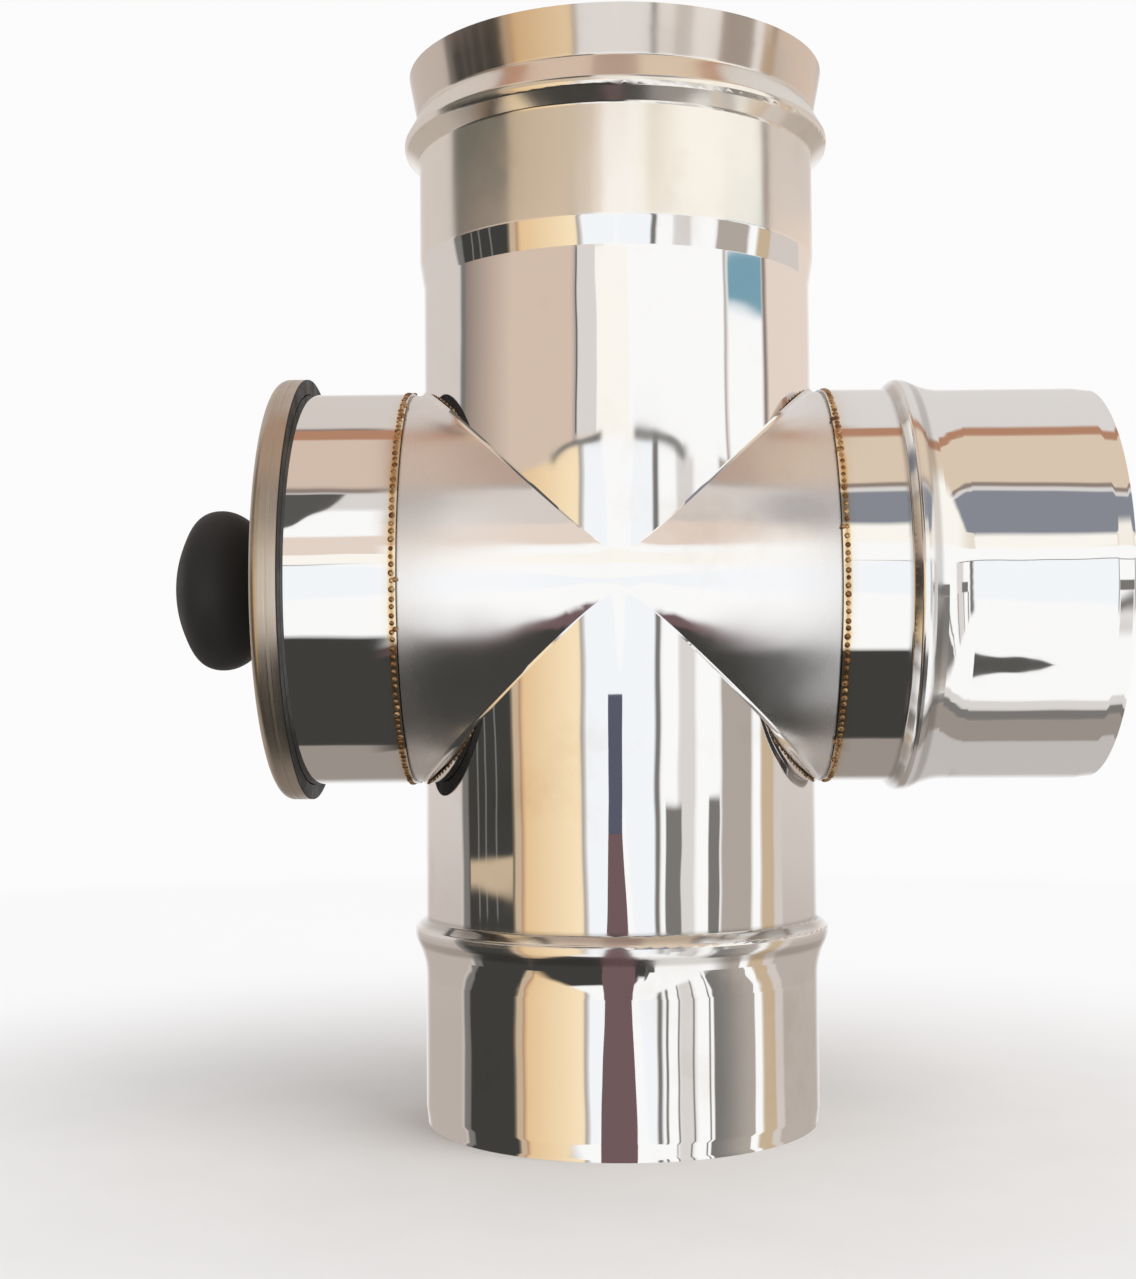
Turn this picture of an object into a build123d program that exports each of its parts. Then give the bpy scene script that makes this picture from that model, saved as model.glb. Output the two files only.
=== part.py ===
from build123d import *
import math
import os

os.makedirs("parts", exist_ok=True)

# Flue tee of thin stainless sheet. The run stands along +Z on the end of its lower spigot, the branch
# points along +X, and the inspection neck with its pull-off cap points along -X. Millimetres.

# Tube
bore_diameter = 100.0
wall = 0.5
crossing_height = 137.0
rim_above_crossing = 134.3

# Spigots, the same rolled form at the lower end and on the branch
spigot_insertion = 48.8
stop_bead_height = 2.7
stop_bead_crown = 2.2
stop_bead_short_flank = 1.9
stop_bead_long_flank = 7.0
stop_bead_short_rounding = 1.1
stop_bead_long_rounding = 5.0
stop_bead_crease = 0.7
stop_bead_run_out = 18.0
lead_in_length = 4.2
lead_in_drop = 0.45
lead_in_land = 0.6
lead_in_rounding = 4.0

# Socket at the top of the run
socket_clearance = 0.55
socket_depth = 49.7
step_length = 6.9
step_crease = 1.2
step_shoulder = 4.0
seal_bead_below_rim = 18.8
seal_bead_height = 3.95
seal_bead_crown = 1.8
seal_bead_short_flank = 3.2
seal_bead_long_flank = 6.2
seal_bead_crease = 0.8
seal_bead_rounding = 1.5
lip_groove_rise = 0.45
lip_groove_rounding = 0.9
lip_cone_length = 6.8
lip_cone_flare = 1.3
lip_cone_rounding = 3.0
lip_edge_flare = 0.9

# Seal ring in the socket
seal_gap = 0.1
seal_lip_height = 0.15
seal_lip_inset = 1.6
seal_notch_depth = 0.9

# Collars drawn out of the run, a little wider than it in the middle and drawing in towards their ends
collar_fillet = 1.2
collar_bulge = 0.25
collar_draw_in = 0.5
collar_gap = 0.05
collar_lap = 5.0

# Branch stub and inspection neck, lapped over the collars
branch_collar_show = 0.2
branch_length = 120.5
neck_collar_show = 0.7
neck_length = 84.1

# Cap
lid_wall = 0.5
lid_skirt_depth = 6.7
lid_corner = 2.5
gasket_thickness = 3.2
gasket_grip_gap = 0.2
gasket_seat_gap = 0.2
gasket_web = 2.1
gasket_web_width = 4.0
gasket_edge = 0.25
gasket_fit_gap = 0.05

# Knob and its fixing
knob_diameter = 42.0
knob_height = 28.6
knob_dome_rise = 11.6
knob_underside_drop = 14.2
knob_stem_diameter = 20.0
insert_diameter = 10.0
insert_length = 13.0
screw_diameter = 6.0
screw_grip = 10.0
screw_hole_gap = 0.25
screw_thread_gap = 0.05
screw_head_flats = 10.0
screw_head_height = 4.0
washer_diameter = 18.0
washer_thickness = 1.6
knob_end_room = 1.0

# Derived places
pipe_radius = bore_diameter / 2 + wall
socket_radius = pipe_radius + socket_clearance + wall
cross_half = pipe_radius + collar_fillet + wall
branch_edge = pipe_radius + collar_fillet + branch_collar_show
neck_edge = pipe_radius + collar_fillet + neck_collar_show
collar_radius = pipe_radius + collar_bulge
collar_end_radius = collar_radius - collar_draw_in
lap_start = min(branch_edge, neck_edge)
lap_share = lap_start / (lap_start + collar_lap)
lap_radius = collar_radius - collar_draw_in * lap_share**2
stub_radius = lap_radius + collar_gap + wall
gasket_inner_radius = stub_radius + gasket_grip_gap
gasket_outer_radius = gasket_inner_radius + gasket_thickness
lid_radius = gasket_outer_radius + gasket_fit_gap + lid_wall
web_face = neck_length + gasket_seat_gap
lid_inner_face = web_face + gasket_web + gasket_fit_gap
lid_face = lid_inner_face + lid_wall
skirt_edge = lid_face - lid_skirt_depth

# Placing of what is turned about its own +Z from the crossing of the axes
crossing = Pos(0, 0, crossing_height)
toward_branch = crossing * Rot(0, 90, 0)
toward_neck = crossing * Rot(0, -90, 0)


def turned(section):
    """Solid of revolution of a section drawn as (radius, height)."""
    return revolve(Plane.XZ * section, Axis.Z)


def outline(corners):
    """Open line through (radius, height, rounding) corners, from the low end to the high end."""
    places = [(radius, height) for radius, height, rounding in corners]
    roundings = [rounding for radius, height, rounding in corners[1:-1]]
    return Wire(FilletPolyline(*places, radius=roundings).edges())


def sheet(corners):
    """Section of sheet metal whose outer face runs through the corners."""
    return make_face(outline(corners).offset_2d(wall, side=Side.LEFT, closed=True))


def stop_bead(crown_height, toward_end, body_radius):
    """Corners of a rolled stop bead, its long flank running out smoothly towards the spigot's end."""
    crown_radius = pipe_radius + stop_bead_height
    half = stop_bead_crown / 2
    long_foot = crown_height + toward_end * (half + stop_bead_long_flank)
    short_foot = crown_height - toward_end * (half + stop_bead_short_flank)
    return [
        (pipe_radius, long_foot, stop_bead_run_out),
        (crown_radius, crown_height + toward_end * half, stop_bead_long_rounding),
        (crown_radius, crown_height - toward_end * half, stop_bead_short_rounding),
        (body_radius, short_foot, stop_bead_crease),
    ]


def lead_in(end_height, toward_end):
    """Corners of the spigot's end, drawn in a little so that it enters a socket."""
    end_radius = pipe_radius - lead_in_drop
    start = end_height - toward_end * lead_in_length
    return [
        (end_radius, end_height, 0),
        (end_radius, end_height - toward_end * lead_in_land, lead_in_rounding),
        (pipe_radius, start, lead_in_rounding),
    ]


def seal_bead(rim_height):
    """Corners of the bead that holds the socket's seal, from the socket's wall up to the lip's groove."""
    crown = rim_height - seal_bead_below_rim
    half = seal_bead_crown / 2
    crown_radius = socket_radius + seal_bead_height
    groove_radius = socket_radius + lip_groove_rise
    return [
        (socket_radius, crown - half - seal_bead_short_flank, seal_bead_crease),
        (crown_radius, crown - half, seal_bead_rounding),
        (crown_radius, crown + half, seal_bead_rounding),
        (groove_radius, crown + half + seal_bead_long_flank, lip_groove_rounding),
    ]


def lower_spigot():
    """Lower part of the run: lead-in, spigot wall and stop bead."""
    corners = lead_in(0, -1)
    corners += stop_bead(spigot_insertion, -1, pipe_radius)
    corners.append((pipe_radius, crossing_height - cross_half, 0))
    return turned(sheet(corners))


def upper_socket():
    """Upper part of the run: step, socket wall, seal bead and flared lip."""
    rim = crossing_height + rim_above_crossing
    step_top = rim - socket_depth
    bead = seal_bead(rim)
    groove_radius, groove_height = bead[-1][:2]
    cone_radius = groove_radius + lip_cone_flare
    corners = [
        (pipe_radius, crossing_height + cross_half, 0),
        (pipe_radius, step_top - step_length, step_crease),
        (socket_radius, step_top, step_shoulder),
    ]
    corners += bead
    corners.append((cone_radius, groove_height + lip_cone_length, lip_cone_rounding))
    corners.append((cone_radius + lip_edge_flare, rim, 0))
    return turned(sheet(corners))


def collar_barrel(inset):
    """Solid of both collars, widest at the crossing, set in from their outer face."""
    middle = collar_radius - inset
    end = collar_end_radius - inset
    branch_end = branch_edge + collar_lap
    neck_end = neck_edge + collar_lap
    branch_side = TangentArc((middle, 0), (end, branch_end), tangent=(0, 1))
    neck_side = TangentArc((middle, 0), (end, -neck_end), tangent=(0, -1))
    ends = Polyline((end, branch_end), (0, branch_end), (0, -neck_end), (end, -neck_end))
    section = make_face(branch_side.edges() + neck_side.edges() + ends.edges())
    return toward_branch * turned(section)


def cross_solid(inset, fillet_radius):
    """Solid crossing of the run with the two collars, set in and rounded where they meet."""
    solid = crossing * Cylinder(pipe_radius - inset, 2 * cross_half)
    solid += collar_barrel(inset)
    plain = GeomType.CIRCLE, GeomType.LINE
    meeting = ShapeList(edge for edge in solid.edges() if edge.geom_type not in plain)
    return fillet(meeting, fillet_radius)


def tee_body():
    """The run with its drawn collars, socket and lower spigot, one formed piece."""
    crossing_shell = cross_solid(0, collar_fillet) - cross_solid(wall, collar_fillet + wall)
    return crossing_shell + lower_spigot() + upper_socket()


def branch_spigot():
    """Branch stub, lapped over its collar, with a stop bead and a lead-in."""
    corners = [(stub_radius, branch_edge, 0)]
    corners += reversed(stop_bead(branch_length - spigot_insertion, 1, stub_radius))
    corners += reversed(lead_in(branch_length, 1))
    return toward_branch * turned(sheet(corners))


def inspection_neck():
    """Plain neck, lapped over its collar, that the cap closes."""
    middle_radius = stub_radius - wall / 2
    section = Pos(middle_radius, neck_edge) * Rectangle(
        wall, neck_length - neck_edge, align=(Align.CENTER, Align.MIN)
    )
    return toward_neck * turned(section)


def socket_seal():
    """Seal ring in the socket's bead, with two lips, drawn as a pipe presses it back."""
    rim = crossing_height + rim_above_crossing
    back = outline(seal_bead(rim)).offset_2d(wall + seal_gap, side=Side.LEFT, closed=False)
    ends = sorted([back @ 0, back @ 1], key=lambda point: point.Y)
    low = ends[0]
    high = ends[1]
    lip_radius = socket_radius - wall - seal_lip_height
    front = Polyline(
        tuple(high)[:2],
        (lip_radius, high.Y - seal_lip_inset),
        (lip_radius + seal_notch_depth, (low.Y + high.Y) / 2),
        (lip_radius, low.Y + seal_lip_inset),
        tuple(low)[:2],
    )
    return turned(make_face(back.edges() + front.edges()))


def cap_lid():
    """Pressed lid: flat face, rounded corner and short skirt, holed for the knob's screw."""
    blank = Pos(0, skirt_edge) * Rectangle(lid_radius, lid_skirt_depth, align=(Align.MIN, Align.MIN))
    rim_corner = blank.vertices().sort_by(Axis.Y)[-2:].sort_by(Axis.X)[-1]
    outer = fillet(rim_corner, lid_corner)
    hollow = Pos(0, skirt_edge) * Rectangle(
        lid_radius - lid_wall, lid_skirt_depth - lid_wall, align=(Align.MIN, Align.MIN)
    )
    hollow_corner = hollow.vertices().sort_by(Axis.Y)[-2:].sort_by(Axis.X)[-1]
    inner = fillet(hollow_corner, lid_corner - lid_wall)
    hole = Pos(0, lid_face) * Rectangle(
        screw_diameter + 2 * screw_hole_gap, 3 * lid_wall
    )
    return toward_neck * turned(outer - inner - hole)


def cap_gasket():
    """Moulded ring: a leg between skirt and neck, a web behind the neck's end and an edge that shows."""
    corner = lid_corner - lid_wall
    leg_length = lid_inner_face - gasket_fit_gap - skirt_edge
    leg = Pos(gasket_inner_radius, skirt_edge) * Rectangle(
        gasket_thickness, leg_length, align=(Align.MIN, Align.MIN)
    )
    web = Pos(gasket_inner_radius, web_face) * Rectangle(
        gasket_web_width, gasket_web, align=(Align.MAX, Align.MIN)
    )
    body = leg + web
    back_corner = body.vertices().sort_by(Axis.Y)[-2:].sort_by(Axis.X)[-1]
    body = fillet(back_corner, corner)
    edge = Pos(gasket_inner_radius, skirt_edge - gasket_fit_gap - gasket_edge) * Rectangle(
        lid_radius - gasket_inner_radius, gasket_edge, align=(Align.MIN, Align.MIN)
    )
    neck_of_edge = Pos(gasket_inner_radius, skirt_edge - gasket_fit_gap) * Rectangle(
        gasket_thickness, gasket_fit_gap, align=(Align.MIN, Align.MIN)
    )
    return toward_neck * turned(body + neck_of_edge + edge)


def knob():
    """Mushroom knob: domed crown, narrowing underside and a stem that stands on the lid."""
    radius = knob_diameter / 2
    stem_radius = knob_stem_diameter / 2
    widest = knob_height - knob_dome_rise
    stem_angle = math.degrees(math.acos(stem_radius / radius))
    underside = EllipticalCenterArc(
        (0, widest), radius, knob_underside_drop, start_angle=-stem_angle, arc_size=stem_angle
    )
    half_turn_share = math.sqrt(0.5)
    dome = Spline(
        (radius, widest),
        (radius * half_turn_share, widest + knob_dome_rise * half_turn_share),
        (0, knob_height),
        tangents=[(0, 1), (-1, 0)],
    )
    stem = Polyline((0, knob_height), (0, 0), (stem_radius, 0), tuple(underside @ 0)[:2])
    solid = turned(make_face(stem.edges() + underside.edges() + dome.edges()))
    hole = Cylinder(
        insert_diameter / 2, insert_length + knob_end_room, align=(Align.CENTER, Align.CENTER, Align.MIN)
    )
    return toward_neck * Pos(0, 0, lid_face) * (solid - hole)


def knob_insert():
    """Threaded bush, moulded into the knob's stem."""
    section = Pos(screw_diameter / 2, 0) * Rectangle(
        (insert_diameter - screw_diameter) / 2, insert_length, align=(Align.MIN, Align.MIN)
    )
    return toward_neck * Pos(0, 0, lid_face) * turned(section)


def knob_washer():
    """Washer between the lid's inner face and the screw's head."""
    hole_radius = screw_diameter / 2 + screw_hole_gap
    section = Pos(hole_radius, lid_inner_face) * Rectangle(
        washer_diameter / 2 - hole_radius, washer_thickness, align=(Align.MIN, Align.MAX)
    )
    return toward_neck * turned(section)


def knob_screw():
    """Hexagon screw from inside the cap into the knob's bush."""
    seat = lid_inner_face - washer_thickness
    shank_length = washer_thickness + lid_wall + screw_grip
    head = extrude(RegularPolygon(screw_head_flats / 2, 6, major_radius=False), -screw_head_height)
    shank = Cylinder(
        screw_diameter / 2 - screw_thread_gap, shank_length, align=(Align.CENTER, Align.CENTER, Align.MIN)
    )
    return toward_neck * Pos(0, 0, seat) * (head + shank)


nodes = {
    "tee_body": tee_body(),
    "branch_spigot": branch_spigot(),
    "inspection_neck": inspection_neck(),
    "socket_seal": socket_seal(),
    "cap_lid": cap_lid(),
    "cap_gasket": cap_gasket(),
    "knob": knob(),
    "knob_insert": knob_insert(),
    "knob_screw": knob_screw(),
    "knob_washer": knob_washer(),
}
for name, solid in nodes.items():
    export_step(solid, f"parts/{name}.step")
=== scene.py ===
import math
import random

import bmesh
import bpy
from mathutils import Matrix, Vector


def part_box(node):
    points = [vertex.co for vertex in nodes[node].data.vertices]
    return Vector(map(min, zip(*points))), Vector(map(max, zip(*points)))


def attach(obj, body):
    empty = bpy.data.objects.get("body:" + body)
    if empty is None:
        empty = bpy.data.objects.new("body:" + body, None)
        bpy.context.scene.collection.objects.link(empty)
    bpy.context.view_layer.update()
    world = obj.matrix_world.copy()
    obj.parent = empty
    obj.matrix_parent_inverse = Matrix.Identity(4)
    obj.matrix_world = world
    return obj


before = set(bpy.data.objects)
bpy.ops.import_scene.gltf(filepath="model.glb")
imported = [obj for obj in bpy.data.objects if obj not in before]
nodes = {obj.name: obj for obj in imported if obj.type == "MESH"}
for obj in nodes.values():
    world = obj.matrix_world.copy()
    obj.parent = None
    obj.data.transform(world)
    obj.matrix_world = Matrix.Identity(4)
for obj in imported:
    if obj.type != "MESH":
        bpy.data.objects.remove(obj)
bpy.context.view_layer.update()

scene = bpy.context.scene

# Places in metres, read from the solids
neck_low, neck_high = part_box("inspection_neck")
branch_low, branch_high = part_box("branch_spigot")
body_low, body_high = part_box("tee_body")
CROSS_Z = (neck_low[2] + neck_high[2]) / 2
STUB_R = (neck_high[2] - neck_low[2]) / 2
NECK_EDGE = -neck_high[0]
BRANCH_EDGE = branch_low[0]

# Lengths in metres: zones of the body and the stubs that differ in finish
SOCKET_DEPTH = 0.0498
LIP_DEPTH = 0.0115
SPIGOT_DEPTH = 0.0490
BEAD_HALF = 0.0036
CREST_HALF = 0.0016
SOCKET_Z = body_high[2] - SOCKET_DEPTH
LIP_Z = body_high[2] - LIP_DEPTH
BEAD_Z = body_low[2] + SPIGOT_DEPTH
BEAD_X = branch_high[0] - SPIGOT_DEPTH


# Node helpers


class Graph:
    """Short way to add nodes to a node tree and link them."""

    def __init__(self, tree):
        self.tree = tree

    def add(self, kind, links=None, **settings):
        node = self.tree.nodes.new(kind)
        for name, value in settings.items():
            setattr(node, name, value)
        for socket, value in (links or {}).items():
            self.put(node.inputs[socket], value)
        return node

    def put(self, socket, value):
        """Link an output to a socket, or set the socket. Colours are red, green and blue."""
        if isinstance(value, bpy.types.NodeSocket):
            self.tree.links.new(value, socket)
        elif socket.type == "RGBA":
            socket.default_value = (*value, 1)
        else:
            socket.default_value = value

    def math(self, operation, a, b=0.0, c=0.0, clamp=False):
        node = self.add(
            "ShaderNodeMath", {0: a, 1: b, 2: c}, operation=operation, use_clamp=clamp
        )
        return node.outputs[0]

    def smooth(self, value, low, high, to_low=0.0, to_high=1.0):
        """Run from to_low to to_high while the value goes from low to high."""
        links = {
            "Value": value,
            "From Min": low,
            "From Max": high,
            "To Min": to_low,
            "To Max": to_high,
        }
        node = self.add("ShaderNodeMapRange", links, interpolation_type="SMOOTHSTEP")
        return node.outputs[0]

    def window(self, value, low, high, soft):
        """One between low and high, zero outside, with soft edges."""
        rise = self.smooth(value, low - soft, low + soft)
        fall = self.smooth(value, high + soft, high - soft)
        return self.math("MULTIPLY", rise, fall)

    def mix(self, factor, a, b):
        node = self.add("ShaderNodeMix", data_type="RGBA")
        self.put(node.inputs[0], factor)
        self.put(node.inputs[6], a)
        self.put(node.inputs[7], b)
        return node.outputs[2]

    def patch(self, under, colour, across, upright):
        """Lay a colour over another where both windows are open."""
        return self.mix(self.math("MULTIPLY", across, upright), under, colour)

    def noise(self, vector, scale, detail, roughness=0.5):
        links = {"Vector": vector, "Scale": scale, "Detail": detail, "Roughness": roughness}
        return self.add("ShaderNodeTexNoise", links).outputs[0]

    def length(self, vector):
        return self.add("ShaderNodeVectorMath", {0: vector}, operation="LENGTH").outputs["Value"]

    def split(self, vector):
        return self.add("ShaderNodeSeparateXYZ", {0: vector}).outputs

    def join(self, x, y, z):
        return self.add("ShaderNodeCombineXYZ", {0: x, 1: y, 2: z}).outputs[0]

    def place(self):
        return self.add("ShaderNodeTexCoord").outputs["Object"]

    def emission(self, colour):
        return self.add("ShaderNodeEmission", {"Color": colour, "Strength": 1.0}).outputs[0]

    def ramp(self, factor, stops):
        node = self.add("ShaderNodeValToRGB", {"Fac": factor})
        elements = node.color_ramp.elements
        while len(elements) > 1:
            elements.remove(elements[-1])
        elements[0].position = stops[0][0]
        elements[0].color = (*stops[0][1], 1)
        for position, colour in stops[1:]:
            elements.new(position).color = (*colour, 1)
        return node.outputs[0]


def new_material(name):
    material = bpy.data.materials.new(name)
    material.use_nodes = True
    graph = Graph(material.node_tree)
    return material, graph, material.node_tree.nodes["Principled BSDF"]


def new_metal(name):
    material, graph, shader = new_material(name)
    shader.inputs["Metallic"].default_value = 1.0
    return material, graph, shader


def finish(graph, shader, colour, roughness):
    graph.put(shader.inputs["Base Color"], colour)
    graph.put(shader.inputs["Roughness"], roughness)


def bump(graph, shader, height, strength, distance):
    links = {"Height": height, "Strength": strength, "Distance": distance}
    graph.put(shader.inputs["Normal"], graph.add("ShaderNodeBump", links).outputs[0])


def surface(material, graph, shader_output):
    output = material.node_tree.nodes["Material Output"]
    graph.put(output.inputs["Surface"], shader_output)


# Camera, at the place and angle of the photograph

PHOTO_TALL = 1279
FOCAL_PIXELS = 1783.0
SENSOR = 36.0
CAMERA_PLACE = (-0.00362, -0.4669, CROSS_Z - 0.0354)
CAMERA_YAW = math.radians(-1.19)
CAMERA_PITCH = math.radians(2.68)
CAMERA_ROLL = math.radians(-0.40)


def make_camera():
    data = bpy.data.cameras.new("camera")
    data.sensor_width = SENSOR
    data.lens = FOCAL_PIXELS / PHOTO_TALL * SENSOR
    data.clip_start = 0.01
    data.clip_end = 50.0
    camera = bpy.data.objects.new("camera", data)
    scene.collection.objects.link(camera)
    level = math.cos(CAMERA_PITCH)
    forward = Vector(
        (math.sin(CAMERA_YAW) * level, math.cos(CAMERA_YAW) * level, math.sin(CAMERA_PITCH))
    )
    right = Vector((math.cos(CAMERA_YAW), -math.sin(CAMERA_YAW), 0))
    up = right.cross(forward)
    right_rolled = right * math.cos(CAMERA_ROLL) + up * math.sin(CAMERA_ROLL)
    up_rolled = up * math.cos(CAMERA_ROLL) - right * math.sin(CAMERA_ROLL)
    turn = Matrix((right_rolled, up_rolled, -forward)).transposed()
    camera.matrix_world = Matrix.Translation(CAMERA_PLACE) @ turn.to_4x4()
    scene.camera = camera


# Studio: a white surround for the camera, and bands of colour that the polished steel mirrors

BACKDROP = (0.975, 0.970, 0.975)
AMBIENT = (0.55, 0.55, 0.56)
WHITE = (1.0, 1.0, 1.0)
DAYLIGHT = (0.94, 0.965, 1.0)
WARM_WHITE = (1.0, 0.97, 0.91)
IVORY = (0.84, 0.76, 0.65)
PALE_STRAW = (0.66, 0.56, 0.45)
STRAW = (0.66, 0.55, 0.43)
OCHRE = (0.52, 0.42, 0.30)
PAPER = (0.66, 0.60, 0.565)
LOW_PAPER = (0.50, 0.44, 0.395)
SILVER = (0.72, 0.69, 0.67)
ASH = (0.68, 0.62, 0.58)
PEWTER = (0.54, 0.51, 0.49)
STONE = (0.44, 0.39, 0.35)
DUSK = (0.33, 0.29, 0.26)
LINE = (0.20, 0.19, 0.18)
OLIVE = (0.150, 0.143, 0.120)
SHADE = (0.10, 0.095, 0.09)
DARK = (0.052, 0.050, 0.046)
PALE_GOLD = (0.98, 0.80, 0.54)
GOLD = (0.80, 0.56, 0.31)
CREAM = (0.80, 0.68, 0.60)
SAND = (0.72, 0.59, 0.46)
ROSE = (0.68, 0.54, 0.44)
BLUSH = (0.67, 0.53, 0.434)
TAN = (0.58, 0.45, 0.31)
CLAY = (0.47, 0.345, 0.28)
BROWN = (0.46, 0.24, 0.15)
UMBER = (0.29, 0.23, 0.20)
SLATE = (0.25, 0.26, 0.30)
NAVY = (0.10, 0.105, 0.15)
WINE = (0.17, 0.105, 0.11)
BLUE = (0.19, 0.36, 0.45)

# Bands around the run, from the left (-) to the right (+) of the camera. Each has the degrees
# where it starts and its colour, or the two colours that it runs between.
AROUND_LOW = [
    (-180, PAPER), (-104, LINE), (-98, DARK), (-63, TAN), (-58, BROWN),
    (-56.5, GOLD, PALE_GOLD), (-22, STONE), (-19.5, DAYLIGHT), (19, LINE), (22, WHITE),
    (32, SILVER), (42, WHITE), (58, STONE), (80, WHITE), (87, TAN), (98, PAPER),
]
AROUND_HIGH = [
    (-180, PAPER), (-104, LINE), (-99, UMBER, ROSE), (-62, ROSE), (-25, STONE), (-22.5, CREAM),
    (6, WHITE), (64, STONE), (66, WHITE), (93, UMBER), (97, CREAM),
]
AROUND_TOP = [
    (-180, PAPER), (-108, OLIVE), (-64, OCHRE, STRAW), (-20, PALE_STRAW, IVORY),
    (20, IVORY, WARM_WHITE), (40, WARM_WHITE), (92, UMBER), (98, PAPER),
]

# Bands over the horizontal parts, from below (-) to above (+)
OVER_NECK = [
    (-180, DUSK), (-106, DARK), (-31, WHITE), (11, STONE), (12.5, CREAM), (26, WHITE),
    (42, SILVER), (52.5, UMBER), (56, BLUSH), (92, BROWN), (101, LINE), (102.5, PAPER),
]
OVER_COLLAR = [
    (-180, DUSK), (-86, DARK), (-16, WINE), (-10, WHITE), (20, CREAM), (33, ASH),
    (54, STONE), (57, CLAY), (92, BROWN), (101, PAPER),
]
OVER_BRANCH = [
    (-180, DUSK), (-103, DARK), (-41, WHITE), (20, WARM_WHITE), (31, SLATE), (50, SILVER),
    (52.5, UMBER), (55.5, SAND), (90, BROWN), (98, SILVER),
]
OVER_SPIGOT = [
    (-180, PEWTER), (-108, DUSK), (-89, LINE), (-82, SILVER), (-75, WHITE), (16, WARM_WHITE),
    (24, SLATE), (50, SILVER), (52.5, UMBER), (55.5, SAND), (91, BROWN), (98.5, SILVER),
]
BAND_SOFT = 0.6

# Directions to the side where one table over the horizontal parts gives way to the next
COLLAR_FROM = -0.12
BRANCH_FROM = 0.125
SPIGOT_FROM = 0.185
FROM_SOFT = 0.012

# Things in the room, by degrees around the run and by height: start, end and softness. Heights
# are the upward part of a direction.
LEVEL = (-0.115, 1.0, 0.004)
UNDER = (-0.13, -0.035, 0.006)
FAR_UNDER = (-1.0, -0.13, 0.006)
UPRIGHTS = [
    (LEVEL, [(-90, -89), (-84, -83), (-76, -75)]),
    (UNDER, [(25, 34), (50, 57)]),
    (FAR_UNDER, [(24, 25.5), (31, 32), (40, 41), (50, 51)]),
]
UPRIGHT_SOFT = 0.5
CHEST_AROUND = (53, 81, 0.6)
SEAT_AROUND, SEAT_HEIGHT = (-97, -64, 0.6), (-0.100, -0.078, 0.004)
PANE_AROUND, PANE_HEIGHT = (67, 93, 1.0), (0.222, 0.256, 0.005)
WINDOW_HEIGHT = (0.168, 0.262, 0.002)
WINDOW_PANES = [(SHADE, -23.5, -22.5), (SILVER, -22.5, -12), (WARM_WHITE, -12, 6)]
BEHIND = (104, 107)
BEHIND_FADE = (-0.03, -0.17)
TOP_FROM = (0.262, 0.278)

# Arch over the doorway: its height in the middle, its bend and its lowest height
ARCH_TOP, ARCH_BEND, ARCH_FOOT = 0.163, -1.8e-5, 0.14
ARCH_EDGE = (-0.001, 0.003)
ARCH_RIM = (0.0, 0.007, 0.002)
RIM_AROUND = (-38, 38, 3.0)
RIM_LIGHT = (-9, 9, 2.0)

# Dark wedge on the neck and dark streak on the spigot: degrees at no sideways part, and slope
WEDGE_FOOT, WEDGE_SLOPE = 134.0, 560.0
WEDGE_OVER = (20.0, 52.0, 0.5)
WEDGE_SOFT = 0.8
STREAK_HALF, STREAK_SLOPE = 59.05, -244.0
STREAK_CENTRE = -51.5
STREAK_FROM = (0.173, 0.185)
COLLAR_SLANT = 220.0

# Share of the upward part in a direction from which the horizontal parts' room is seen, and the
# directions to the side where the socket sees the run's room all the same
STEEP = (0.56, 0.44)
STEEP_GUARD = 0.0005
ASIDE_LEFT, ASIDE_RIGHT = (-0.205, -0.225), (0.285, 0.300)
ASIDE_HEIGHT = (0.255, 0.405, 0.006)
STRAIGHT_BEHIND = (0.86, 1.0)


def bands(graph, degrees, table):
    """Colour bands over an angle."""
    stops = [(-180, table[0][1])]
    for band, following in zip(table, table[1:]):
        start = following[0]
        stops += [(start - BAND_SOFT, band[-1]), (start + BAND_SOFT, following[1])]
    factor = graph.math("MULTIPLY_ADD", degrees, 1 / 360, 0.5)
    return graph.ramp(factor, [((place + 180) / 360, colour) for place, colour in stops])


def angle(graph, side, toward):
    return graph.math("DEGREES", graph.math("ARCTAN2", side, toward))


def above_arch(graph, around, height):
    """Height above the arch between the doorway and the wall."""
    squared = graph.math("MULTIPLY", around, around)
    bent = graph.math("MULTIPLY_ADD", squared, ARCH_BEND, ARCH_TOP)
    return graph.math("SUBTRACT", height, graph.math("MAXIMUM", bent, ARCH_FOOT))


def around_room(graph, around, height):
    """What the upright run mirrors: a doorway low down, a wall above it and the room's top."""
    low = bands(graph, around, AROUND_LOW)
    for part, uprights in UPRIGHTS:
        tall = graph.window(height, *part)
        for left, right in uprights:
            wide = graph.window(around, left, right, UPRIGHT_SOFT)
            low = graph.patch(low, LINE, wide, tall)
    left, right, soft = CHEST_AROUND
    chest = graph.mix(graph.smooth(around, left, right), LINE, STONE)
    wide = graph.window(around, left, right, soft)
    low = graph.patch(low, chest, wide, graph.window(height, *FAR_UNDER))
    wide = graph.window(around, *SEAT_AROUND)
    low = graph.patch(low, TAN, wide, graph.window(height, *SEAT_HEIGHT))
    behind = graph.smooth(graph.math("ABSOLUTE", around), *BEHIND)
    low = graph.patch(low, LOW_PAPER, behind, graph.smooth(height, *BEHIND_FADE))
    high = bands(graph, around, AROUND_HIGH)
    wide = graph.window(around, *PANE_AROUND)
    high = graph.patch(high, BLUE, wide, graph.window(height, *PANE_HEIGHT))
    top = bands(graph, around, AROUND_TOP)
    high = graph.mix(graph.smooth(height, *TOP_FROM), high, top)
    return graph.mix(graph.smooth(above_arch(graph, around, height), *ARCH_EDGE), low, high)


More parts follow.
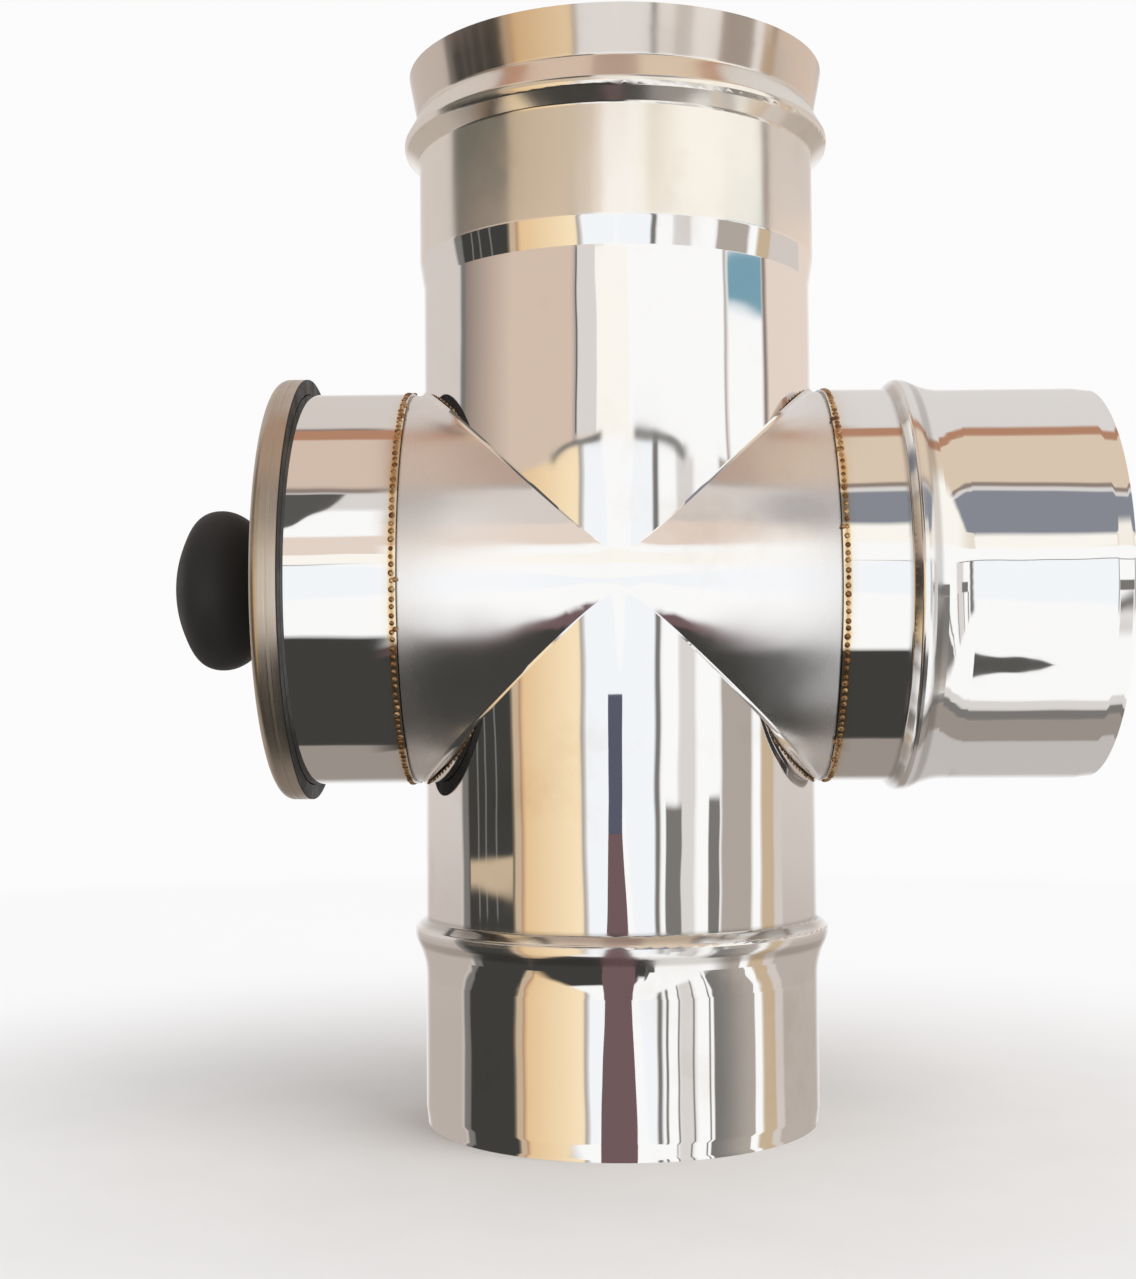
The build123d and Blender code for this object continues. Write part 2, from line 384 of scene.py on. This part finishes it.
def over_room(graph, over, x):
    """What the horizontal parts mirror, from the neck at the left to the spigot at the right."""
    aside = graph.math("MULTIPLY_ADD", graph.math("ABSOLUTE", x), COLLAR_SLANT, over)
    slanted = graph.math("MINIMUM", aside, graph.math("MAXIMUM", over, 0.0))
    room = bands(graph, over, OVER_NECK)
    wedge_foot = graph.math("MULTIPLY_ADD", x, WEDGE_SLOPE, WEDGE_FOOT)
    wedge = graph.smooth(graph.math("SUBTRACT", over, wedge_foot), -WEDGE_SOFT, WEDGE_SOFT)
    room = graph.patch(room, SHADE, wedge, graph.window(over, *WEDGE_OVER))
    for table, start, angle_there in (
        (OVER_COLLAR, COLLAR_FROM, slanted),
        (OVER_BRANCH, BRANCH_FROM, over),
        (OVER_SPIGOT, SPIGOT_FROM, over),
    ):
        beyond = graph.smooth(x, start - FROM_SOFT, start + FROM_SOFT)
        room = graph.mix(beyond, room, bands(graph, angle_there, table))
    half_streak = graph.math("MULTIPLY_ADD", x, STREAK_SLOPE, STREAK_HALF)
    from_streak = graph.math("ABSOLUTE", graph.math("SUBTRACT", over, STREAK_CENTRE))
    inside = graph.math("SUBTRACT", half_streak, from_streak)
    streak = graph.smooth(inside, -BAND_SOFT, BAND_SOFT)
    return graph.patch(room, SHADE, streak, graph.smooth(x, *STREAK_FROM))


def centre_room(graph, room, around, height):
    """What stands high up straight in front: a window over the doorway's arch."""
    tall = graph.window(height, *WINDOW_HEIGHT)
    for colour, left, right in WINDOW_PANES:
        room = graph.patch(room, colour, graph.window(around, left, right, UPRIGHT_SOFT), tall)
    rim = graph.window(above_arch(graph, around, height), *ARCH_RIM)
    tone = graph.mix(graph.window(around, *RIM_LIGHT), LINE, WARM_WHITE)
    return graph.patch(room, tone, rim, graph.window(around, *RIM_AROUND))


def make_world():
    world = bpy.data.worlds.new("studio")
    world.use_nodes = True
    scene.world = world
    world.node_tree.nodes.clear()
    graph = Graph(world.node_tree)
    x, y, z = graph.split(graph.add("ShaderNodeTexCoord").outputs["Generated"])
    toward = graph.math("MULTIPLY", y, -1.0)
    around = angle(graph, x, toward)
    x2 = graph.math("MULTIPLY", x, x)
    z2 = graph.math("MULTIPLY", z, z)
    across = graph.math("ADD", graph.math("ADD", x2, z2), STEEP_GUARD)
    steep = graph.math("DIVIDE", z2, across)
    level_room = around_room(graph, around, z)
    steep_room = over_room(graph, angle(graph, z, toward), x)
    left, right = graph.smooth(x, *ASIDE_LEFT), graph.smooth(x, *ASIDE_RIGHT)
    aside = graph.math("MAXIMUM", left, right)
    upper = graph.math("MULTIPLY", aside, graph.window(z, *ASIDE_HEIGHT))
    level = graph.math("MAXIMUM", graph.smooth(steep, *STEEP), upper)
    mirrored = graph.mix(level, steep_room, level_room)
    mirrored = centre_room(graph, mirrored, around, z)
    mirrored = graph.mix(graph.smooth(y, *STRAIGHT_BEHIND), mirrored, BACKDROP)
    rays = graph.add("ShaderNodeLightPath").outputs
    shown = graph.math("MAXIMUM", rays["Is Glossy Ray"], rays["Is Transmission Ray"])
    plain = graph.mix(shown, AMBIENT, mirrored)
    seen = graph.mix(rays["Is Camera Ray"], plain, BACKDROP)
    background = graph.add("ShaderNodeBackground", {"Color": seen, "Strength": 1.0})
    output = graph.add("ShaderNodeOutputWorld")
    graph.put(output.inputs["Surface"], background.outputs[0])


# Camera stand in front of the tee: x and height above the crossing of its column and its foot
STAND_Y = -0.110
STAND = [
    (NAVY, [(-0.0099, -0.0286), (0.0013, -0.0286), (0.0013, -0.0652), (-0.0099, -0.0652)]),
    (WINE, [
        (-0.0099, -0.0652), (0.0013, -0.0652), (0.0106, -0.143),
        (0.0210, -0.400), (-0.0300, -0.400), (-0.0192, -0.143),
    ]),
]


def make_stand():
    """Dark camera stand, which only the steel mirrors."""
    mesh = bpy.data.meshes.new("camera_stand")
    points = []
    faces = []
    for _, outline in STAND:
        faces.append(range(len(points), len(points) + len(outline)))
        points += [(x, STAND_Y, CROSS_Z + height) for x, height in outline]
    mesh.from_pydata(points, [], faces)
    for k, (colour, _) in enumerate(STAND):
        material, graph, _ = new_material("stand_paint")
        surface(material, graph, graph.emission(colour))
        mesh.materials.append(material)
        mesh.polygons[k].material_index = k
    stand = bpy.data.objects.new("camera_stand", mesh)
    scene.collection.objects.link(stand)
    stand.visible_camera = False
    stand.visible_diffuse = False
    stand.visible_shadow = False


FLOOR_RADIUS = 6
FLOOR_SIDES = 96
FLOOR_TONES = [(0.3, (0.85, 0.825, 0.80)), (0.7, (0.88, 0.855, 0.83))]
FLOOR_FADE = (0.04, 0.32, 0.0, 0.92)
FLOOR_FADE_OUT = (0.15, 0.80)


def make_floor():
    """Pale floor, which keeps the shadow near the tee and fades into the backdrop around it."""
    material, graph, shader = new_material("pale_floor")
    place = graph.place()
    finish(graph, shader, graph.ramp(graph.noise(place, 30.0, 3.0), FLOOR_TONES), 0.9)
    shader.inputs["Specular IOR Level"].default_value = 0.1
    distance = graph.length(place)
    near_fade = graph.smooth(distance, *FLOOR_FADE)
    fade = graph.math("MAXIMUM", near_fade, graph.smooth(distance, *FLOOR_FADE_OUT))
    links = {0: fade, 1: shader.outputs[0], 2: graph.emission(BACKDROP)}
    surface(material, graph, graph.add("ShaderNodeMixShader", links).outputs[0])
    mesh = bpy.data.meshes.new("floor")
    turns = [2 * math.pi * k / FLOOR_SIDES for k in range(FLOOR_SIDES)]
    ring = [(FLOOR_RADIUS * math.cos(t), FLOOR_RADIUS * math.sin(t), 0) for t in turns]
    mesh.from_pydata(ring, [], [range(FLOOR_SIDES)])
    mesh.materials.append(material)
    floor = bpy.data.objects.new("floor", mesh)
    scene.collection.objects.link(floor)
    floor.visible_glossy = False


# Lamps: name, place, size and watts
LAMPS = [
    ("key", (1.1, -0.8, 1.3), 1.5, 17.0),
    ("fill", (-1.2, -0.8, 1.0), 1.8, 3.0),
    ("rear", (0.2, 1.4, 1.2), 1.8, 3.0),
]


def make_lights():
    for name, place, size, power in LAMPS:
        data = bpy.data.lights.new(name, "AREA")
        data.size = size
        data.energy = power
        lamp = bpy.data.objects.new(name, data)
        lamp.location = place
        aim = Vector((0, 0, CROSS_Z)) - Vector(place)
        lamp.rotation_euler = aim.to_track_quat("-Z", "Y").to_euler()
        lamp.visible_glossy = False
        scene.collection.objects.link(lamp)


# Materials

STEEL = (0.950, 0.945, 0.938)
COLLAR_STEEL = (0.985, 0.975, 0.965)
SOCKET_STEEL = (0.95, 0.915, 0.86)
LIP_STEEL = (0.76, 0.69, 0.63)
STAIN = (0.76, 0.69, 0.61)
# Painted shade in the creases on a bead's flanks
FLANK_PAINTED_SHADE = (0.42, 0.39, 0.36)
# Painted shadow line along each stub's welded edge
EDGE_PAINTED_SHADOW = (0.10, 0.07, 0.05)

# Heat tint, from a stub's welded edge inwards
TINT_REACH = 0.0040
TINT_RAGGED = 0.0012
HEAT_TINT = [
    (0.0, (0.94, 0.88, 0.76)), (0.14, (0.92, 0.80, 0.58)), (0.30, (0.66, 0.42, 0.20)),
    (0.46, (0.84, 0.64, 0.38)), (0.60, (0.93, 0.89, 0.81)), (1.0, STEEL),
]
OXIDE = [(0.30, (0.14, 0.07, 0.04)), (0.50, (0.38, 0.20, 0.09)), (0.70, (0.80, 0.58, 0.32))]
LID_TONES = (0.60, 0.53, 0.45), (0.70, 0.63, 0.54)
KNOB_TONES = (0.018, 0.018, 0.019), (0.028, 0.028, 0.029)
RUBBER_TONES = (0.008, 0.008, 0.008), (0.022, 0.021, 0.020)
BRASS_TONES = (0.62, 0.45, 0.20), (0.74, 0.57, 0.28)
SCREW_TONES = (0.50, 0.50, 0.49), (0.64, 0.64, 0.63)
WASHER_TONES = (0.52, 0.52, 0.52), (0.66, 0.66, 0.65)

# Roughness of the steel's finishes, from their smoothest to their roughest patches
POLISHED = (0.018, 0.050)
COLLAR_SATIN = (0.14, 0.19)
WELD_SATIN = (0.30, 0.38)
SOCKET_SATIN = (0.13, 0.18)
LIP_SATIN = (0.11, 0.15)
BEAD_SATIN = (0.10, 0.15)

# Soft edges of the zones, and how far out the collars turn satin and then duller, in metres
SEAM_SOFT = 0.0008
ZONE_SOFT = 0.0006
BEAD_SOFT = 0.0010
COLLAR_TURNS = (0.010, 0.036)
WELD_TURNS = (0.036, 0.056)
# Where the painted shadow line along a stub's welded edge fades out, in metres inwards from the
# edge
EDGE_PAINTED_SHADOW_FADE = (0.00040, 0.00022)
# How strongly the painted shade darkens a bead's flanks
FLANK_SHARE = 0.55


def polished(graph, smudge):
    return graph.smooth(smudge, 0.35, 0.80, *POLISHED)


def satin(graph, smudge, range_of_finish):
    return graph.smooth(smudge, 0.25, 0.75, *range_of_finish)


def bead_zone(graph, from_bead):
    return graph.window(from_bead, -BEAD_HALF, BEAD_HALF, BEAD_SOFT)


def bead_flanks(graph, from_bead):
    """Painted shade on both flanks of a bead's crest."""
    off_crest = graph.math("ABSOLUTE", from_bead)
    flanks = graph.window(off_crest, CREST_HALF, BEAD_HALF, ZONE_SOFT)
    return graph.math("MULTIPLY", flanks, FLANK_SHARE)


def sheet_waves(graph, shader, place):
    """Slight waviness of formed sheet."""
    waves = graph.noise(place, scale=26.0, detail=1.5)
    bump(graph, shader, waves, strength=1.0, distance=0.00035)


def body_steel():
    """Bright sheet with a satin socket, and collars that grow duller towards their welds."""
    material, graph, shader = new_metal("body_steel")
    place = graph.place()
    x, _, z = graph.split(place)
    off_x = graph.math("ABSOLUTE", x)
    off_z = graph.math("ABSOLUTE", graph.math("SUBTRACT", z, CROSS_Z))
    beyond_seam = graph.math("SUBTRACT", off_x, off_z)
    collar = graph.smooth(beyond_seam, -SEAM_SOFT, SEAM_SOFT)
    collar = graph.math("MULTIPLY", collar, graph.smooth(off_x, *COLLAR_TURNS))
    welded = graph.math("MULTIPLY", collar, graph.smooth(off_x, *WELD_TURNS))
    socket = graph.window(z, SOCKET_Z, LIP_Z, ZONE_SOFT)
    lip = graph.smooth(z, LIP_Z - ZONE_SOFT, LIP_Z + ZONE_SOFT)
    from_bead = graph.math("SUBTRACT", z, BEAD_Z)
    smudge = graph.noise(place, scale=38.0, detail=4.0, roughness=0.6)
    roughness = polished(graph, smudge)
    for zone, range_of_finish in (
        (collar, COLLAR_SATIN),
        (welded, WELD_SATIN),
        (socket, SOCKET_SATIN),
        (lip, LIP_SATIN),
        (bead_zone(graph, from_bead), BEAD_SATIN),
    ):
        roughness = graph.mix(zone, roughness, satin(graph, smudge, range_of_finish))
    colour = STEEL
    for zone, zone_colour in (
        (collar, COLLAR_STEEL),
        (socket, SOCKET_STEEL),
        (lip, LIP_STEEL),
        # Painted shade on the bead's flanks
        (bead_flanks(graph, from_bead), FLANK_PAINTED_SHADE),
    ):
        colour = graph.mix(zone, colour, zone_colour)
    blotch = graph.noise(place, scale=22.0, detail=5.0, roughness=0.65)
    stain = graph.smooth(blotch, 0.53, 0.72, 0.0, 0.40)
    finish(graph, shader, graph.mix(stain, colour, STAIN), roughness)
    sheet_waves(graph, shader, place)
    return material


def stub_steel(name, edge, side):
    """Bright sheet with heat tint along the welded edge, a painted shadow line right at that
    edge and painted shade on the bead's flanks.
    """
    material, graph, shader = new_metal(name)
    place = graph.place()
    x = graph.split(place)[0]
    along = graph.math("SUBTRACT", graph.math("MULTIPLY", x, side), edge)
    from_bead = graph.math("SUBTRACT", x, BEAD_X)
    smudge = graph.noise(place, scale=45.0, detail=4.0, roughness=0.6)
    dull = satin(graph, smudge, BEAD_SATIN)
    roughness = graph.mix(bead_zone(graph, from_bead), polished(graph, smudge), dull)
    uneven = graph.math("SUBTRACT", graph.noise(place, scale=260.0, detail=2.0), 0.5)
    ragged = graph.math("MULTIPLY_ADD", uneven, TINT_RAGGED, along)
    colour = graph.ramp(graph.math("DIVIDE", ragged, TINT_REACH, clamp=True), HEAT_TINT)
    # Painted shade on the bead's flanks
    colour = graph.mix(bead_flanks(graph, from_bead), colour, FLANK_PAINTED_SHADE)
    # Painted shadow line along the welded edge
    colour = graph.mix(graph.smooth(along, *EDGE_PAINTED_SHADOW_FADE), colour, EDGE_PAINTED_SHADOW)
    finish(graph, shader, colour, roughness)
    sheet_waves(graph, shader, place)
    return material


def weld_oxide():
    """Small weld nuggets, brown and gold from the heat."""
    material, graph, shader = new_metal("weld_oxide")
    place = graph.place()
    patch = graph.noise(place, scale=420.0, detail=3.0, roughness=0.6)
    finish(graph, shader, graph.ramp(patch, OXIDE), graph.smooth(patch, 0.3, 0.7, 0.42, 0.24))
    grit = graph.noise(place, scale=2200.0, detail=2.0)
    bump(graph, shader, grit, strength=0.2, distance=0.0001)
    return material


def lid_steel():
    """Warm grey brushed sheet, with grain around the axis."""
    material, graph, shader = new_metal("lid_steel")
    place = graph.place()
    x, y, z = graph.split(place)
    radius = graph.length(graph.join(0.0, y, graph.math("SUBTRACT", z, CROSS_Z)))
    grain = graph.noise(graph.join(x, radius, 0.0), scale=2600.0, detail=3.0, roughness=0.7)
    patch = graph.noise(place, scale=40.0, detail=4.0, roughness=0.6)
    colour = graph.mix(graph.smooth(patch, 0.3, 0.75), *LID_TONES)
    finish(graph, shader, colour, graph.smooth(grain, 0.3, 0.7, 0.26, 0.44))
    bump(graph, shader, grain, strength=0.12, distance=0.0001)
    return material


def knob_plastic():
    material, graph, shader = new_material("knob_plastic")
    place = graph.place()
    patch = graph.noise(place, scale=60.0, detail=4.0, roughness=0.6)
    colour = graph.mix(patch, *KNOB_TONES)
    finish(graph, shader, colour, graph.smooth(patch, 0.3, 0.7, 0.52, 0.66))
    shader.inputs["Specular IOR Level"].default_value = 0.35
    grit = graph.noise(place, scale=1500.0, detail=2.0)
    bump(graph, shader, grit, strength=0.10, distance=0.0002)
    return material


def rubber(name):
    material, graph, shader = new_material(name)
    place = graph.place()
    patch = graph.noise(place, scale=120.0, detail=4.0, roughness=0.6)
    colour = graph.mix(patch, *RUBBER_TONES)
    finish(graph, shader, colour, graph.smooth(patch, 0.3, 0.7, 0.5, 0.7))
    grit = graph.noise(place, scale=900.0, detail=2.0)
    bump(graph, shader, grit, strength=0.15, distance=0.0002)
    return material


def turned_metal(name, tones):
    """Metal with fine grooves across the x axis."""
    material, graph, shader = new_metal(name)
    links = {"Vector": graph.place(), "Scale": (900.0, 60.0, 60.0)}
    stretched = graph.add("ShaderNodeMapping", links).outputs[0]
    grain = graph.noise(stretched, scale=1.0, detail=3.0)
    colour = graph.mix(grain, *tones)
    finish(graph, shader, colour, graph.smooth(grain, 0.3, 0.7, 0.22, 0.36))
    bump(graph, shader, grain, strength=0.1, distance=0.0001)
    return material


# Weld nuggets, a row around each stub just beyond its edge

NUGGET_PITCH = 0.0020
NUGGET_RADIUS = 0.00074
NUGGET_HEIGHT = 0.00044
NUGGET_SINK = 0.15
NUGGET_FROM_EDGE = 0.00135
NUGGET_SIDES = 10
NUGGET_RINGS = 3
NUGGET_SIZES = (0.8, 1.15)
PITCH_JITTER = 0.12
EDGE_JITTER = 0.00012
SPATTERS = 7
SPATTER_FROM_EDGE = (0.0003, 0.0006)
SPATTER_RADIUS = 0.0007
SPATTER_HEIGHT = 0.0006


def add_nugget(mesh, place, out, along, radius, height):
    """A small dome that stands out of the sheet and sinks a little into it."""
    across = out.cross(along)
    turns = [2 * math.pi * j / NUGGET_SIDES for j in range(NUGGET_SIDES)]
    rings = []
    for k in range(NUGGET_RINGS):
        lift = math.pi / 2 * k / NUGGET_RINGS
        centre = place + out * (height * math.sin(lift) - NUGGET_SINK * height)
        reach = radius * math.cos(lift)
        points = [
            centre + reach * (along * math.cos(turn) + across * math.sin(turn)) for turn in turns
        ]
        rings.append([mesh.verts.new(point) for point in points])
    tip = mesh.verts.new(place + out * (1 - NUGGET_SINK) * height)
    for lower, upper in zip(rings, rings[1:]):
        for j in range(NUGGET_SIDES):
            k = (j + 1) % NUGGET_SIDES
            mesh.faces.new((lower[j], lower[k], upper[k], upper[j]))
    for j in range(NUGGET_SIDES):
        mesh.faces.new((rings[-1][j], rings[-1][(j + 1) % NUGGET_SIDES], tip))


def weld_nuggets(name, edge, side, material, seed):
    """Row of uneven nuggets around a stub, and a few stray spatters beside it."""
    draw = random.Random(seed)
    mesh = bmesh.new()
    along = Vector((side, 0, 0))
    count = round(2 * math.pi * STUB_R / NUGGET_PITCH)
    for k in range(count):
        turn = 2 * math.pi * (k + draw.uniform(-PITCH_JITTER, PITCH_JITTER)) / count
        out = Vector((0, math.cos(turn), math.sin(turn)))
        from_edge = NUGGET_FROM_EDGE + draw.uniform(-EDGE_JITTER, EDGE_JITTER)
        place = Vector((side * (edge + from_edge), 0, CROSS_Z)) + out * STUB_R
        size = draw.uniform(*NUGGET_SIZES)
        add_nugget(mesh, place, out, along, NUGGET_RADIUS * size, NUGGET_HEIGHT * size)
    for k in range(SPATTERS):
        turn = draw.uniform(0, 2 * math.pi)
        out = Vector((0, math.cos(turn), math.sin(turn)))
        from_edge = draw.uniform(*SPATTER_FROM_EDGE)
        place = Vector((side * (edge + from_edge), 0, CROSS_Z)) + out * STUB_R
        add_nugget(mesh, place, out, along, SPATTER_RADIUS, SPATTER_HEIGHT)
    bmesh.ops.recalc_face_normals(mesh, faces=mesh.faces)
    data = bpy.data.meshes.new(name)
    mesh.to_mesh(data)
    mesh.free()
    for polygon in data.polygons:
        polygon.use_smooth = True
    data.materials.append(material)
    piece = bpy.data.objects.new(name, data)
    scene.collection.objects.link(piece)
    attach(piece, "tee")


def dress(name, material):
    node = nodes[name]
    node.data.materials.clear()
    node.data.materials.append(material)


make_camera()
make_world()
make_stand()
make_floor()
make_lights()
dress("tee_body", body_steel())
dress("branch_spigot", stub_steel("branch_steel", BRANCH_EDGE, 1.0))
dress("inspection_neck", stub_steel("neck_steel", NECK_EDGE, -1.0))
dress("socket_seal", rubber("seal_rubber"))
dress("cap_gasket", rubber("gasket_rubber"))
dress("cap_lid", lid_steel())
dress("knob", knob_plastic())
dress("knob_insert", turned_metal("insert_brass", BRASS_TONES))
dress("knob_screw", turned_metal("screw_steel", SCREW_TONES))
dress("knob_washer", turned_metal("washer_steel", WASHER_TONES))

oxide = weld_oxide()
weld_nuggets("neck_weld_nuggets", NECK_EDGE, -1.0, oxide, 3)
weld_nuggets("branch_weld_nuggets", BRANCH_EDGE, 1.0, oxide, 5)

scene.view_settings.view_transform = "Standard"
